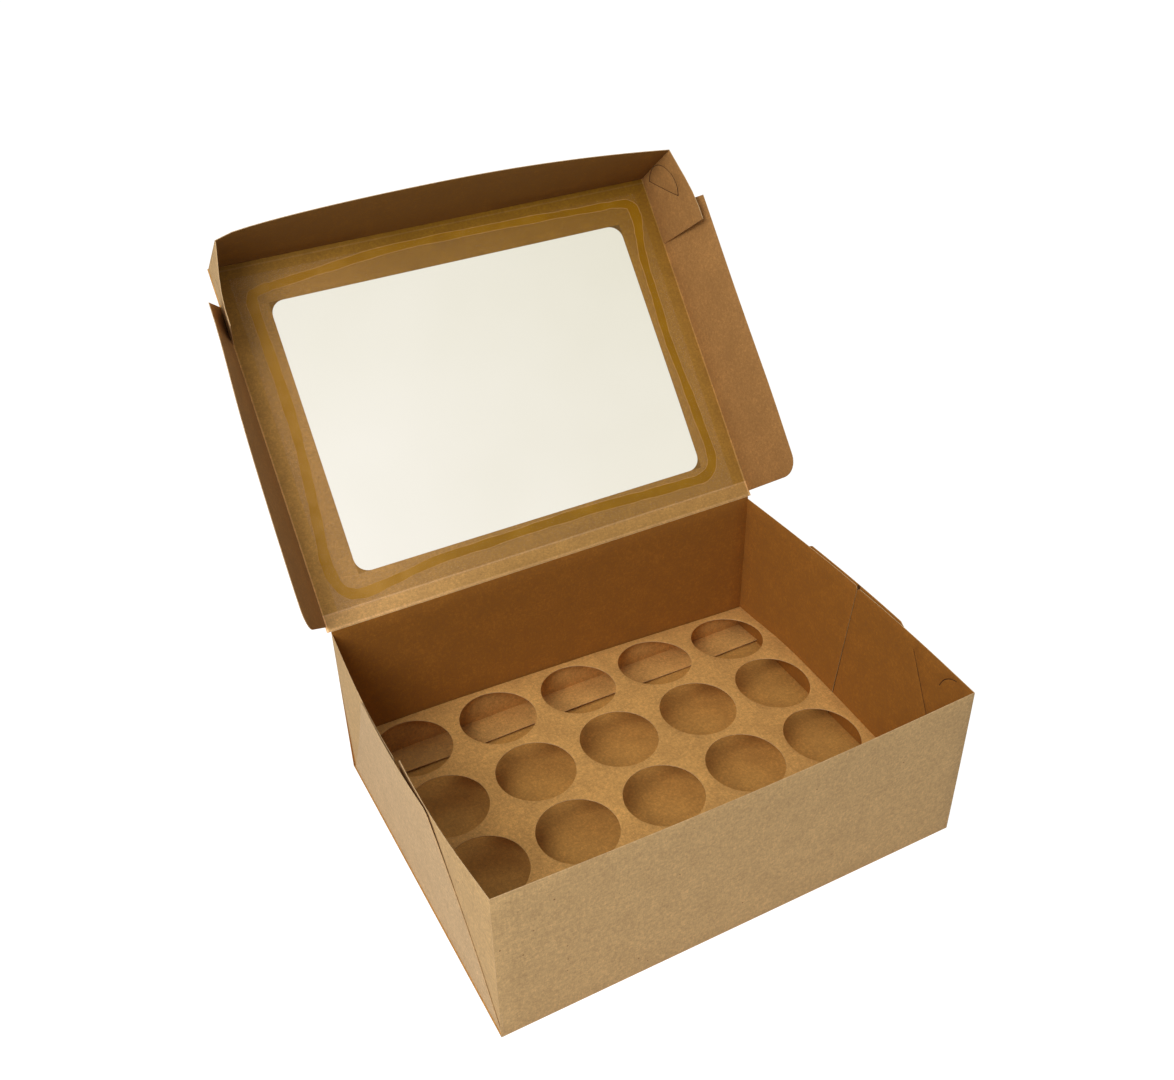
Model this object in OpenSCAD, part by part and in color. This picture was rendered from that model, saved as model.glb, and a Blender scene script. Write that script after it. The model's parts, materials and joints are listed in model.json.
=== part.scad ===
// Folded paperboard carton for small cakes: a tray with locked corners, a punched
// insert that holds the cakes apart, and a hinged lid with a film window.
// The tray stands on z = 0, centred on the origin, with its front wall towards -Y.

/* [Board] */
// Thickness of the paperboard
board = 0.5; // [0.3:0.05:0.8]
// Gap between two layers of board that lie side by side
ply_gap = 0.2; // [0.1:0.05:0.4]
// Gap that a crease leaves between the two panels it joins
crease_gap = 0.2; // [0.1:0.05:0.4]

/* [Tray] */
// Outside width of the tray, left to right
base_w = 330; // [300:1:400]
// Outside depth of the tray, front to back
base_d = 250; // [230:1:300]
// Height of the front wall and the corner flaps
wall_h = 121; // [100:1:150]
// Height by which the side panels stand above the corner flaps
side_rise = 1.5; // [0.5:0.5:3]
// Length of a side panel's top edge
side_top_w = 104; // [70:1:130]
// Distance from the tray's corner to the foot of a side panel
side_foot_inset = 2; // [1:0.5:5]
// Chamfer on a side panel's top corners
side_corner_cut = 3; // [1:0.5:8]
// Distance behind the middle where two corner flaps meet at the floor
seam_y = 5; // [-15:1:15]
// Forward lean of that seam from floor to rim
seam_lean = 9; // [0:1:15]
// Clear width of that seam
seam_gap = 0.8; // [0.5:0.1:2]
// Chamfer on the free top corner of a corner flap
flap_corner_cut = 2; // [0.5:0.5:6]

/* [Corner locks] */
// Width of a slit cut by the die
kerf = 0.6; // [0.4:0.1:1]
// Length of the slanted slit in a front corner flap
slit_len = 48; // [30:1:60]
// Distance from the slanted slit's top end down to the rim
slit_drop = 9; // [5:1:20]
// Distance from a side panel's slanted edge to the slit beside it
slit_offset = 8; // [5:1:14]
// Diameter of the half-moon lock tongues
lock_d = 34; // [24:1:38]
// Turn of a half-moon's straight side from the free edge
lock_turn = 48; // [35:1:60]
// Distance from the lid's front edge to the middle of a half-moon's straight side
lock_from_front = 18; // [15:0.5:24]
// Distance from the lid panel to the middle of a half-moon's straight side
lock_from_panel = 23; // [20:0.5:28]
// Length along the arc of the slit that takes a lock tongue's tip
catch_sweep = 70; // [40:5:90]

/* [Insert] */
// Cups from left to right
cups_x = 5; // [3:1:6]
// Cups from front to back
cups_y = 4; // [2:1:5]
// Diameter of a cup hole
cup_d = 55; // [40:0.5:56]
// Distance between hole centres, left to right
cup_pitch_x = 64.5; // [58:0.5:66]
// Distance between hole centres, front to back
cup_pitch_y = 61; // [58:0.5:62]
// Height of the insert's deck above the floor
deck_h = 25; // [15:1:40]
// Clearance between the insert and the tray's walls
insert_clear = 0.6; // [0.4:0.1:1.5]
// Width of the feet that turn in along the floor
foot_w = 26; // [10:1:40]

/* [Lid] */
// Opening angle of the lid, measured from closed
lid_angle = 130.5; // [0:0.5:175]
// Room on each side between the tray and the lid's side edges
lid_side_room = 2; // [1.6:0.1:4]
// Length of the lid panel from its hinge crease to its front edge
lid_len = 254.5; // [253:0.5:306]
// Height of the lid's flaps
lid_flap_h = 52; // [44:1:70]
// Lean of the lid's side flaps outwards from upright
flap_splay = 18; // [0:1:30]
// Distance from the hinge crease to the back end of a side flap
flap_rear_gap = 6; // [3:0.5:12]
// Distance from the lid's front edge to the front end of a side flap at the crease
flap_front_gap = 27; // [24:1:40]
// Further setback of a side flap's front end at its free edge
flap_front_rake = 10; // [0:1:20]
// Radius of a side flap's back corner
flap_rear_r = 14; // [4:1:20]
// Size of the chamfer at the foot of a side flap's back end
flap_foot_chamfer = 6; // [2:0.5:10]
// Length of the tabs at the ends of the lid's front flap
tab_len = 55; // [50:1:75]
// Slant of a tab's end from crease to free edge
tab_slant = 2; // [0:0.5:8]
// Distance from the hinge crease to the second score across the lid
second_score = 11; // [6:0.5:20]
// Depth of a score pressed into the board
score_depth = 0.12; // [0.05:0.01:0.2]
// Width of a score
score_w = 1.2; // [0.8:0.1:2]

/* [Window] */
// Width of the window
window_w = 270; // [200:1:280]
// Margin of board behind and in front of the window
window_margin = 31; // [28:1:60]
// Corner radius of the window
window_r = 10; // [4:1:20]
// Width of film glued down around the window
film_lap = 21; // [16:1:24]
// Thickness of the film
film_t = 0.2; // [0.1:0.05:0.3]
// Distance from the window to the middle of the glue line
glue_offset = 13; // [9:0.5:16]
// Width of the glue line
glue_w = 6; // [3:0.5:8]
// Thickness of the glue line
glue_t = 0.1; // [0.05:0.05:0.2]

/* [Hidden] */

kraft_out = [0.72, 0.57, 0.39];
kraft_in = [0.62, 0.42, 0.23];
kraft_deck = [0.68, 0.49, 0.27];
film_tint = [0.93, 0.93, 0.86, 0.35];
glue_tint = [0.62, 0.42, 0.10];
round_fn = 96;
eps = 0.01;

half_w = base_w / 2;
half_d = base_d / 2;
hinge_z = wall_h + side_rise + crease_gap + board;
// Outer face of the corner flaps, which lie inside the side panels
flap_x = half_w - board - ply_gap;
// Faces that the insert stands between
inner_x = flap_x - board;
inner_y = half_d - board;

deck_w = 2 * (inner_x - insert_clear);
deck_d = 2 * (inner_y - insert_clear);
deck_z = board + deck_h;

lid_half_w = half_w + lid_side_room;
window_len = lid_len - 2 * window_margin;
window_mid = lid_len / 2;
// Outer face of the lid's corner tabs, which lie inside the side flaps
tab_x = lid_half_w - board - ply_gap;
// Where the lid's front edge comes down when the lid is shut
shut_front_y = half_d - lid_len;

// A board panel in the y-z plane with its outer face at x, drawn as if on the right
module side_sheet(x, t = board) {
    translate([x - t, 0, 0]) rotate([90, 0, 90]) linear_extrude(t) children();
}

// A board panel in the x-z plane that reaches from y to y + t
module cross_sheet(y, t = board) {
    translate([0, y + t, 0]) rotate([90, 0, 0]) linear_extrude(t) children();
}

module mirrored(left) {
    mirror([left ? 1 : 0, 0, 0]) children();
}

// Lid coordinates: x as in the tray, y from the hinge crease to the front edge,
// z out of the panel's inner face
module on_lid() {
    translate([0, half_d, hinge_z]) rotate([180 - lid_angle, 0, 0]) children();
}

module rounded_rect(w, l, r) {
    square([w - 2 * r, l], center = true);
    square([w, l - 2 * r], center = true);
    for (sx = [-1, 1], sy = [-1, 1])
        translate([sx * (w / 2 - r), sy * (l / 2 - r)]) circle(r, $fn = round_fn);
}

module slit(from, to) {
    run = to - from;
    translate(from) rotate(atan2(run[1], run[0]))
        translate([0, -kerf / 2]) square([norm(run), kerf]);
}

// ---- Tray ----

module floor_panel() {
    color(kraft_in)
        translate([-flap_x, -inner_y + crease_gap, 0])
            cube([2 * flap_x, 2 * inner_y - crease_gap, board]);
}

module front_wall() {
    color(kraft_out) cross_sheet(-half_d)
        translate([-flap_x, crease_gap]) square([2 * flap_x, wall_h - crease_gap]);
}

module back_wall() {
    color(kraft_in) cross_sheet(inner_y)
        translate([-flap_x, 0]) square([2 * flap_x, hinge_z - crease_gap]);
}

// Outline of the trapezoid that closes a side of the tray
function side_edge_y(z) =
    half_d - side_foot_inset
    - (half_d - side_foot_inset - side_top_w / 2) * z / (wall_h + side_rise);

module side_outline() {
    top = wall_h + side_rise;
    foot = half_d - side_foot_inset;
    corner = [side_top_w / 2 - side_corner_cut, top];
    shoulder = [side_edge_y(top - side_corner_cut), top - side_corner_cut];
    polygon([[-foot, crease_gap], [foot, crease_gap], shoulder, corner,
             [-corner[0], top], [-shoulder[0], shoulder[1]]]);
}

module side_panel(left) {
    color(kraft_out) mirrored(left) side_sheet(half_w) side_outline();
}

// The seam between the two corner flaps of one side leans forward as it rises
function seam_at(z) = seam_y - seam_lean * z / wall_h;

// A corner flap from its wall to the seam; side is 1 behind the seam and -1 in front
module flap_outline(wall_y, side) {
    low = board + crease_gap;
    edge = side * seam_gap / 2;
    cut_z = wall_h - flap_corner_cut;
    polygon([[wall_y, low], [seam_at(low) + edge, low], [seam_at(cut_z) + edge, cut_z],
             [seam_at(wall_h) + edge + side * flap_corner_cut, wall_h],
             [wall_y, wall_h]]);
}

module front_flap_cuts() {
    top_z = wall_h - slit_drop;
    run = [side_edge_y(slit_len) - side_edge_y(0), slit_len];
    slope = run / norm(run);
    top = [-side_edge_y(top_z) - slit_offset, top_z];
    slit(top, top - [-slope[0], slope[1]] * slit_len);
    lock_slot();
}

// The curved slit that takes the tip of the lid's lock tongue once the lid is shut
module lock_slot() {
    translate([shut_front_y + lock_from_front, hinge_z - lock_from_panel])
        arc_slit(lock_d / 2, 45 - catch_sweep / 2, 45 + catch_sweep / 2);
}

// A slit of kerf width along a circle, between two angles
module arc_slit(r, from, to) {
    reach = 2 * r;
    intersection() {
        difference() {
            circle(r + kerf / 2, $fn = round_fn);
            circle(r - kerf / 2, $fn = round_fn);
        }
        polygon([[0, 0], reach * [cos(from), sin(from)],
                 reach * 1.5 * [cos((from + to) / 2), sin((from + to) / 2)],
                 reach * [cos(to), sin(to)]]);
    }
}

module front_corner_flap(left) {
    color(kraft_in) mirrored(left) side_sheet(flap_x)
        difference() {
            flap_outline(-inner_y, -1);
            front_flap_cuts();
        }
}

module rear_corner_flap(left) {
    color(kraft_in) mirrored(left) side_sheet(flap_x) flap_outline(inner_y, 1);
}

// ---- Insert ----

module cup_places() {
    for (i = [0 : cups_x - 1], j = [0 : cups_y - 1])
        translate([(i - (cups_x - 1) / 2) * cup_pitch_x,
                   (j - (cups_y - 1) / 2) * cup_pitch_y]) children();
}

module insert_deck() {
    color(kraft_deck) translate([0, 0, deck_z - board])
        difference() {
            translate([-deck_w / 2, -deck_d / 2, 0]) cube([deck_w, deck_d, board]);
            cup_places() translate([0, 0, -board])
                cylinder(d = cup_d, h = 3 * board, $fn = round_fn);
        }
}

// The leg under the deck's front or back edge, from the foot to the deck
module insert_leg(side) {
    color(kraft_deck)
        cross_sheet(side * (deck_d - board) / 2 - board / 2)
            translate([-deck_w / 2, 2 * board]) square([deck_w, deck_z - 3 * board]);
}

module insert_foot(side) {
    mid = side * (deck_d - foot_w) / 2;
    color(kraft_deck) translate([-deck_w / 2, mid - foot_w / 2, board])
        cube([deck_w, foot_w, board]);
}

// ---- Lid ----

module lid_panel() {
    color(kraft_in) on_lid() difference() {
        translate([-lid_half_w, 0, -board]) cube([2 * lid_half_w, lid_len, board]);
        translate([0, window_mid, -2 * board]) linear_extrude(3 * board)
            rounded_rect(window_w, window_len, window_r);
        translate([-lid_half_w - board, second_score - score_w / 2, -board - eps])
            cube([2 * (lid_half_w + board), score_w, score_depth + eps]);
    }
}

module window_glue() {
    inner = glue_offset - glue_w / 2;
    outer = glue_offset + glue_w / 2;
    color(glue_tint) on_lid() translate([0, window_mid, 0]) linear_extrude(glue_t)
        difference() {
            rounded_rect(window_w + 2 * outer, window_len + 2 * outer, window_r + outer);
            rounded_rect(window_w + 2 * inner, window_len + 2 * inner, window_r + inner);
        }
}

module window_film() {
    color(film_tint) on_lid() translate([0, window_mid, glue_t]) linear_extrude(film_t)
        square([window_w + 2 * film_lap, window_len + 2 * film_lap], center = true);
}

module lid_front_flap() {
    color(kraft_in) on_lid() cross_sheet(lid_len - board)
        translate([-tab_x, crease_gap]) square([2 * tab_x, lid_flap_h - crease_gap]);
}

// Outline of a lid side flap, along the lid and up from its crease
module lid_flap_outline() {
    front = lid_len - flap_front_gap;
    rear = flap_rear_gap;
    bend = [rear + flap_rear_r, lid_flap_h - flap_rear_r];
    translate(bend) circle(flap_rear_r, $fn = round_fn);
    polygon([[rear - flap_foot_chamfer / 2, crease_gap], [front, crease_gap],
             [front - flap_front_rake, lid_flap_h], [bend[0], lid_flap_h], bend,
             [rear, bend[1]], [rear, flap_foot_chamfer]]);
}

module lid_side_flap(left) {
    color(kraft_in) on_lid() mirrored(left)
        translate([lid_half_w, 0, 0]) rotate([0, flap_splay, 0])
            side_sheet(0) lid_flap_outline();
}

// Place of a half-moon lock on the tabs, with its straight side along x
module at_lock() {
    translate([lid_len - lock_from_front, lock_from_panel])
        rotate(-lock_turn) children();
}

module half_moon(r) {
    intersection() {
        circle(r, $fn = round_fn);
        translate([-2 * r, 0]) square([4 * r, 2 * r]);
    }
}

module tab_outline() {
    back = lid_len - tab_len;
    front = lid_len - board - crease_gap;
    foot = glue_t + film_t + 2 * crease_gap;
    difference() {
        polygon([[back + tab_slant, foot], [front, foot],
                 [front, lid_flap_h], [back, lid_flap_h]]);
        at_lock() translate([0, -kerf / 2]) half_moon_room();
    }
}

// The half-moon opening is one kerf larger than the tongue that fills it
module half_moon_room() {
    half_moon(lock_d / 2 + kerf / 2);
}

module lid_tab(left) {
    color(kraft_in) on_lid() mirrored(left) side_sheet(tab_x) tab_outline();
}

module lock_tongue(left) {
    color(kraft_in) on_lid() mirrored(left) side_sheet(tab_x)
        at_lock() translate([0, -kerf / 2 + crease_gap]) half_moon(lock_d / 2 - kerf / 2);
}

floor_panel();
back_wall();
rear_corner_flap(true);  // rear_left_corner_flap
rear_corner_flap(false);  // rear_right_corner_flap
front_wall();
front_corner_flap(true);  // front_left_corner_flap
front_corner_flap(false);  // front_right_corner_flap
side_panel(true);  // left_side_panel
side_panel(false);  // right_side_panel
insert_deck();
insert_leg(-1);  // insert_front_leg
insert_leg(1);  // insert_rear_leg
insert_foot(-1);  // insert_front_foot
insert_foot(1);  // insert_rear_foot
lid_panel();
window_film();
window_glue();
lid_front_flap();
lid_side_flap(true);  // lid_left_flap
lid_side_flap(false);  // lid_right_flap
lid_tab(true);  // lid_left_tab
lid_tab(false);  // lid_right_tab
lock_tongue(true);  // left_lock_tongue
lock_tongue(false);  // right_lock_tongue
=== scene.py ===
"""Windowed cake carton: sheets of kraft board cut, bent and dressed on the packed frame."""

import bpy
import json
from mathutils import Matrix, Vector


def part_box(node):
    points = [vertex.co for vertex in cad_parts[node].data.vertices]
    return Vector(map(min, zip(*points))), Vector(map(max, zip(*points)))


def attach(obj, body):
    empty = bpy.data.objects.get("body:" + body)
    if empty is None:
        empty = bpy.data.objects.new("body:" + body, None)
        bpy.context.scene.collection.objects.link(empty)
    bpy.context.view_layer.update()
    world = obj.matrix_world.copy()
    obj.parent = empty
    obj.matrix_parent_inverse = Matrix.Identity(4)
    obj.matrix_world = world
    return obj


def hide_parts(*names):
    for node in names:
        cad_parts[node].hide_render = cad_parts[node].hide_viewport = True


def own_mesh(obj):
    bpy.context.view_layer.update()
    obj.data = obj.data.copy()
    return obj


bl_info = {
    "name": "Windowed Cake Carton",
    "version": (1, 0, 0),
    "blender": (4, 5, 0),
    "location": "View3D > Sidebar > Carton",
    "description": "Cuts, bends and finishes the sheets of a folded board carton",
    "category": "Object",
}

import json
import math

import bpy
import numpy as np
from mathutils import Matrix, Vector

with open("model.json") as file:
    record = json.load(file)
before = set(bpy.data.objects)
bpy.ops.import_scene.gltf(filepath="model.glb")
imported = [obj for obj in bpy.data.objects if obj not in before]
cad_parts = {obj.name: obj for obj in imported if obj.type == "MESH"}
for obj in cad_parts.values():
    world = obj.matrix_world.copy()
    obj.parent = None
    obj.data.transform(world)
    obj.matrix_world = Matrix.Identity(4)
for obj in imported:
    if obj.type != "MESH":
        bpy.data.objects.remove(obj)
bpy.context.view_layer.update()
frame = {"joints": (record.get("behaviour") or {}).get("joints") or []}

MM = 0.001
SMOOTH_ANGLE = math.radians(32)
ROUND_ANGLE = math.radians(50)  # sharper edges than this are rounded
WELD = 1e-6

# ---- Measures of the packed model ----

FRONT_LO, FRONT_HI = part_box("front_wall")
_, BACK_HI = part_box("back_wall")
_, SIDE_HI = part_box("right_side_panel")
FLOOR_LO, FLOOR_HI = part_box("floor_panel")
_, DECK_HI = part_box("insert_deck")
LEG_LO, LEG_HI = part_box("insert_rear_leg")
FOOT_LO, FOOT_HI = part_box("insert_rear_foot")
_, LID_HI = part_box("lid_panel")
_, FRONT_FLAP_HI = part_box("lid_front_flap")

BOARD = FRONT_HI.y - FRONT_LO.y
CREASE = FRONT_LO.z
SEAT = 0.02 * MM  # how far a panel stops short of the one it stands on
FOLD = -0.3 * MM  # where a lid flap starts, a little past its crease so that no light shows
HALF_D = -FRONT_LO.y
INNER_Y = HALF_D - BOARD
HALF_W = SIDE_HI.x
FLAP_X = FRONT_HI.x
WALL_H = FRONT_HI.z
SIDE_H = SIDE_HI.z
DECK_X, DECK_Y, DECK_Z = DECK_HI.x, DECK_HI.y, DECK_HI.z

HINGE = next(j for j in frame["joints"] if j["name"] == "lid_hinge")
LID_O = Vector((0, HINGE["pos_m"][1], HINGE["pos_m"][2]))
LID_W = LID_HI.x


def lid_slope():
    """Slope of the open lid above the horizontal, and its length from hinge to front edge."""
    rise = LID_HI.z - LID_O.z
    slope = math.atan2(rise, LID_HI.y - LID_O.y)
    for _ in range(4):
        slope = math.atan2(rise, LID_HI.y - LID_O.y - BOARD * math.sin(slope))
    return slope, rise / math.sin(slope)


LID_TILT, LID_L = lid_slope()
LID_U = Vector((0, math.cos(LID_TILT), math.sin(LID_TILT)))  # up the lid from its hinge
LID_V = Vector((0, -math.sin(LID_TILT), math.cos(LID_TILT)))  # out of its inner face
AXIS_X, AXIS_Y, AXIS_Z = Vector((1, 0, 0)), Vector((0, 1, 0)), Vector((0, 0, 1))
TAB_X = FRONT_FLAP_HI.x
SEAM_Y, SEAM_LEAN, SEAM_GAP = 5 * MM, 9 * MM, 1.1 * MM
FLAP_H = 52 * MM


# ---- Settings ----

def paint(r, g, b):
    """A colour given as 0-255 screen values, as the linear values that nodes use."""
    def linear(c):
        c /= 255
        return c / 12.92 if c <= 0.04045 else ((c + 0.055) / 1.055) ** 2.4
    return (linear(r), linear(g), linear(b))


def colour_prop(name, text, rgb):
    return bpy.props.FloatVectorProperty(
        name=name, description=text, default=paint(*rgb), subtype="COLOR",
        size=3, min=0, max=1)


def length_prop(name, text, mm, low=0.0, high=1.0):
    return bpy.props.FloatProperty(
        name=name, description=text, default=mm * MM, min=low, max=high,
        subtype="DISTANCE", unit="LENGTH", precision=5)


def count_prop(name, text, count):
    return bpy.props.IntProperty(name=name, description=text, default=count, min=1)


def lamp_prop(name, text, value, low=0, unit="NONE"):
    return bpy.props.FloatProperty(name=name, description=text, default=value, min=low,
                                   unit=unit)


class CartonBoard(bpy.types.PropertyGroup):
    """Colours and bends of the folded blank"""
    outside: colour_prop("Outside", "Colour of the board's outer face", (199, 163, 112))
    # The side panels' outer face is a paler copy of the outside colour: painted light, as though
    # lit from the left
    side: colour_prop("Side", "Colour of the side panels' outer face", (203, 170, 126))
    # The tray's inner face is painted darker than the lid's inner face: painted shade of the tray
    # walls, on top of the board's own deeper inner colour
    inside: colour_prop("Inside", "Colour of the tray's inner face", (154, 99, 34))
    floor: colour_prop("Floor", "Colour of the floor's inner face", (192, 141, 70))
    insert: colour_prop("Insert", "Colour of the punched insert", (204, 154, 86))
    # The cut edge is paler than the faces: partly the raw fibre's own colour, partly a painted
    # highlight
    cut_edge: colour_prop("Cut edge", "Colour of the raw cut edge", (206, 172, 126))
    deep: colour_prop("Deep fibre", "Colour of the darkest fibres", (120, 78, 40))
    # Dark colour for the walls down in a die-cut line: painted shade in the cut
    cut_line: colour_prop("Cut line", "Colour down in a die-cut line", (58, 32, 12))
    grid: length_prop("Grid", "Spacing of the lines that let a sheet bend", 12, 0.002, 0.05)
    rounding: length_prop("Edge rounding", "Rounding of the board's edges", 0.12, 0, 0.0002)
    right_bow: length_prop("Right bow", "Bow of the right side at its rim", 4.5, 0, 0.01)
    left_bow: length_prop("Left bow", "Bow of the left side at its rim", 7.0, 0, 0.01)
    front_bow: length_prop("Front bow", "Bow of the front wall at its rim", 3.2, 0, 0.004)
    back_bow: length_prop("Back bow", "Bow of the back wall half way up", 1.5, 0, 0.004)
    foot_tuck: length_prop("Foot tuck", "Inward pull of the walls at the floor", 1.5, 0, 0.004)


class CartonInsert(bpy.types.PropertyGroup):
    """Sizes of the punched insert"""
    cups_x: count_prop("Cups across", "Holes from left to right", 5)
    cups_y: count_prop("Cups deep", "Holes from front to back", 4)
    cup_d: length_prop("Cup hole", "Diameter of a cup hole", 55)
    pitch_x: length_prop("Pitch across", "Distance between holes, left to right", 64.5)
    pitch_y: length_prop("Pitch deep", "Distance between holes, front to back", 61)
    foot_lift: length_prop("Foot lift", "Lift of the feet's free edges off the floor", 3.0)


class CartonLid(bpy.types.PropertyGroup):
    """Sizes, bends and colours of the lid"""
    window_w: length_prop("Window width", "Width of the window", 270)
    window_margin: length_prop("Window margin", "Board behind and in front of the window", 31)
    window_r: length_prop("Window corner", "Corner radius of the window", 10)
    film_lap: length_prop("Film lap", "Width of film glued down round the window", 21)
    second_score: length_prop("Second score", "Distance from the hinge to the second score", 11)
    front_lean: length_prop("Front lean", "Outward lean of the front flap's free edge", 9.5)
    inside: colour_prop("Inside", "Colour of the lid's inner face", (188, 141, 72))
    # The side flaps' and tabs' inner face is a darker copy of the lid's inner colour: painted shade
    flaps: colour_prop("Flaps", "Colour of the side flaps' and tabs' inner face", (165, 119, 66))
    # The front flap's inner face is a much darker copy of the lid's inner colour: painted shade
    front_inside: colour_prop("Front", "Colour of the front flap's inner face", (126, 84, 28))
    glue_rim: colour_prop("Glue rim", "Colour of the thin rim round the glue", (188, 142, 76))
    film: colour_prop("Film", "Colour of the film's own surface", (205, 200, 180))
    film_near: colour_prop("Film near", "Light let through at the hinge's left", (247, 245, 240))
    film_far: colour_prop("Film far", "Light let through at the far right", (241, 239, 230))
    film_lap_tint: colour_prop("Film lap", "Tint of the film over board", (240, 205, 165))
    glue: colour_prop("Glue", "Colour of the dried glue", (184, 133, 34))


class CartonStage(bpy.types.PropertyGroup):
    """Lamps and camera"""
    key: lamp_prop("Key", "Power of the key lamp", 23.5, unit="POWER")
    top: lamp_prop("Top", "Power of the overhead lamp", 7, unit="POWER")
    world: lamp_prop("World", "Strength of the even light", 0.235)
    lens: lamp_prop("Lens", "Focal length of the camera", 40.024, 1, "CAMERA")


GROUPS = {"carton_board": CartonBoard, "carton_insert": CartonInsert,
          "carton_lid": CartonLid, "carton_stage": CartonStage}


def settings(name):
    return getattr(bpy.context.scene, name)


# ---- Materials ----

FLOAT, VECTOR, COLOR = "NodeSocketFloat", "NodeSocketVector", "NodeSocketColor"
FIBRE_TURNS = (0.35, -0.25, 0.6)  # radians, for strands that run in three directions
FIBRE_SCALES = ((1500, 320, 1500), (320, 1500, 1500), (1500, 1500, 320))


def node_adder(tree):
    """A short way to add a node to a tree, with plain values or links for its inputs."""
    def add(kind, inputs=None, **values):
        node = tree.nodes.new(kind)
        for key, value in values.items():
            setattr(node, key, value)
        for key, value in (inputs or {}).items():
            if isinstance(value, bpy.types.NodeSocket):
                tree.links.new(value, node.inputs[key])
            else:
                node.inputs[key].default_value = value
        return node

    return add


def empty_nodes(owner):
    """Clears the nodes of a material or a world, and gives its way to add new ones."""
    owner.use_nodes = True
    owner.node_tree.nodes.clear()
    return node_adder(owner.node_tree)


def maths(add, operation, a, b=0.0, clamp=False):
    return add("ShaderNodeMath", {0: a, 1: b}, operation=operation, use_clamp=clamp).outputs[0]


def span(add, value, lo, hi, to_lo=0.0, to_hi=1.0):
    return add("ShaderNodeMapRange", {"Value": value, "From Min": lo, "From Max": hi,
                                      "To Min": to_lo, "To Max": to_hi}).outputs[0]


def mixed(add, share, a, b):
    return add("ShaderNodeMix", {0: share, 6: a, 7: b}, data_type="RGBA").outputs[2]


def make_group(name, inputs, outputs):
    """Starts a shader node group with these named sockets."""
    tree = bpy.data.node_groups.new(name, "ShaderNodeTree")
    for label, kind, value in inputs:
        socket = tree.interface.new_socket(label, in_out="INPUT", socket_type=kind)
        if value is not None:
            socket.default_value = value
    for label, kind in outputs:
        tree.interface.new_socket(label, in_out="OUTPUT", socket_type=kind)
    add = node_adder(tree)
    return add, add("NodeGroupInput").outputs


def build_kraft_group():
    """Clouded, fibrous kraft paper with small dark flecks."""
    add, given = make_group(
        "Kraft Fibre",
        [("Coordinate", VECTOR, None), ("Board", COLOR, (0.5, 0.3, 0.15, 1)),
         ("Deep", COLOR, (0.2, 0.1, 0.04, 1)), ("Cloud", FLOAT, 0.1), ("Fibre", FLOAT, 0.1),
         ("Fleck", FLOAT, 0.3)],
        [("Color", COLOR), ("Roughness", FLOAT), ("Height", FLOAT)])

    def noise(scale, detail, vector, rough=0.6):
        return add("ShaderNodeTexNoise", {"Vector": vector, "Scale": scale,
                                          "Detail": detail, "Roughness": rough}).outputs["Fac"]

    def swing(value, lo, hi, amount):
        """From -amount to amount as value goes from lo to hi."""
        return maths(add, "MULTIPLY", span(add, value, lo, hi, -1, 1), amount)

    coord = given["Coordinate"]
    cloud = noise(55, 3, coord)
    mottle = noise(460, 3, coord, 0.7)
    strands = [noise(1, 2, add("ShaderNodeMapping", {
        "Vector": coord, "Rotation": (turn, turn * 0.7, turn), "Scale": scale}).outputs[0])
        for scale, turn in zip(FIBRE_SCALES, FIBRE_TURNS)]
    total = maths(add, "ADD", maths(add, "ADD", strands[0], strands[1]), strands[2])
    fibre = maths(add, "MULTIPLY", total, 1 / 3)

    specks = add("ShaderNodeTexVoronoi", {"Vector": coord, "Scale": 150.0, "Randomness": 1.0})
    pick = add("ShaderNodeSeparateColor", {0: specks.outputs["Color"]}).outputs[0]
    fleck = maths(add, "MULTIPLY", span(add, specks.outputs["Distance"], 0.05, 0.11, 1.0, 0.0),
                  maths(add, "GREATER_THAN", pick, 0.86))

    shade = maths(add, "ADD", swing(cloud, 0.3, 0.7, given["Cloud"]),
                  swing(mottle, 0.3, 0.7, given["Fibre"]))
    shade = maths(add, "ADD", shade, swing(fibre, 0.36, 0.64, given["Fibre"]))
    toned = mixed(add, maths(add, "MULTIPLY", shade, -1.0, True), given["Board"], given["Deep"])
    lift = maths(add, "ADD", maths(add, "MAXIMUM", shade, 0.0), 1.0)
    lifted = add("ShaderNodeHueSaturation", {"Color": toned, "Value": lift}).outputs[0]
    flecked = mixed(add, maths(add, "MULTIPLY", fleck, given["Fleck"]), lifted, given["Deep"])
    add("NodeGroupOutput", {
        "Color": flecked, "Roughness": span(add, mottle, 0.3, 0.7, 0.74, 0.9),
        "Height": maths(add, "ADD", fibre, maths(add, "MULTIPLY", mottle, 0.6))})


def build_line_group():
    """A soft line at a place along an axis, such as a score, a crease paled by wear, a painted
    shadow, or a painted band of shade or highlight.
    """
    add, given = make_group(
        "Score Line",
        [("Coordinate", VECTOR, None), ("Axis", VECTOR, (0, 0, 1)), ("Place", FLOAT, 0.0),
         ("Width", FLOAT, 0.001), ("Hardness", FLOAT, 1.0)],
        [("Mask", FLOAT)])
    along = add("ShaderNodeVectorMath", {0: given["Coordinate"], 1: given["Axis"]},
                operation="DOT_PRODUCT").outputs["Value"]
    off = maths(add, "ABSOLUTE", maths(add, "SUBTRACT", along, given["Place"]))
    slope = maths(add, "SUBTRACT", 1.0, maths(add, "DIVIDE", off, given["Width"]))
    add("NodeGroupOutput", {"Mask": maths(add, "MULTIPLY", slope, given["Hardness"], True)})


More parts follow.
